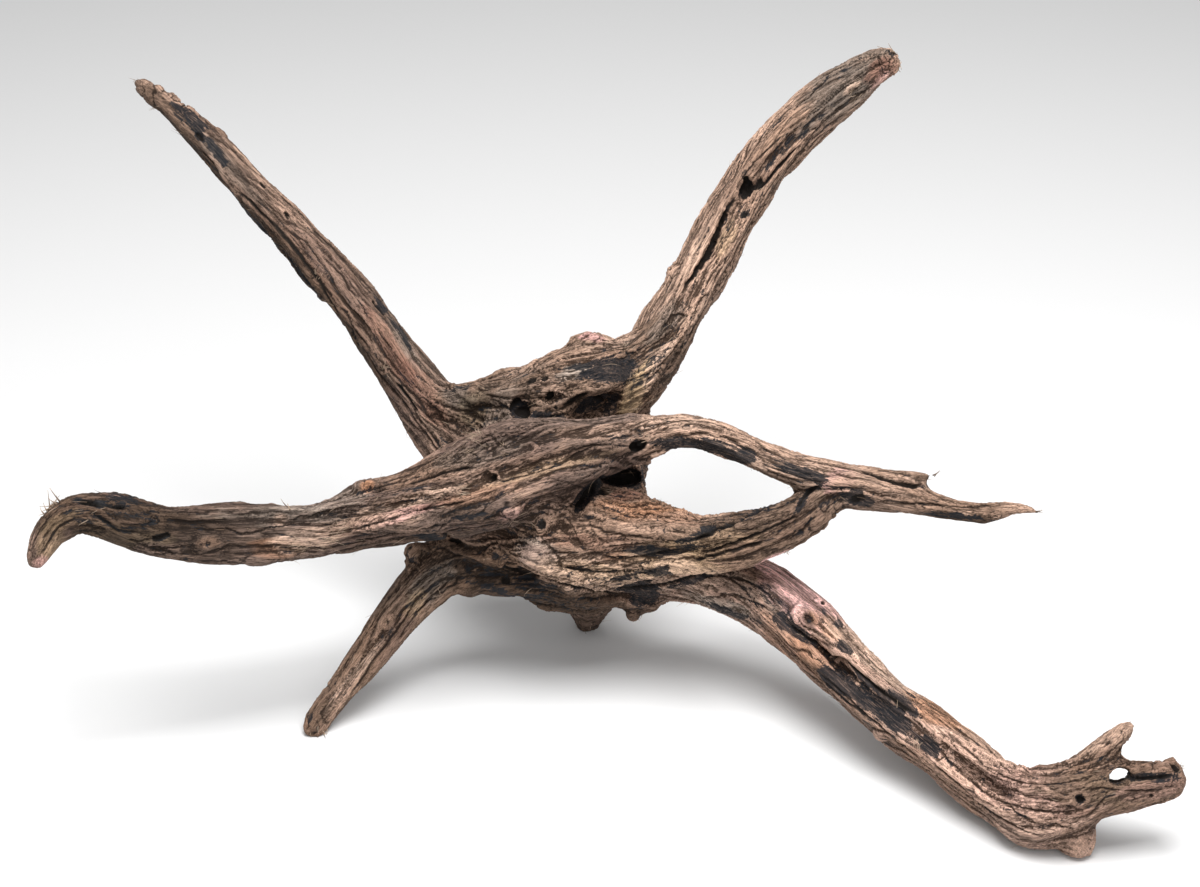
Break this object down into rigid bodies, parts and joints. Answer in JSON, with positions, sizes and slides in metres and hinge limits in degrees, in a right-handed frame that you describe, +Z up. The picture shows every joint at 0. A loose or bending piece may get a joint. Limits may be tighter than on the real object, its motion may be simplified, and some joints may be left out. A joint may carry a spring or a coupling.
{
  "type": "driftwood root",
  "caption": "Branching driftwood root with a knotted middle and spreading limbs, some of them grown together round a gap, standing on its lowest points.",
  "frame": {"origin": "middle of the bounding box on the ground that the root stands on", "axes": "+X along the longest extent, towards the right leg with the forked foot; +Z up; -Y towards the viewer of the front"},
  "size_m": [0.7276, 0.4738, 0.3704],
  "materials": {
    "weathered_wood": "rough weathered grain, brown with grey, pinkish and near-black patches"
  },
  "bodies": {
    "root": {"driftwood": "weathered_wood"}
  },
  "joints": []
}
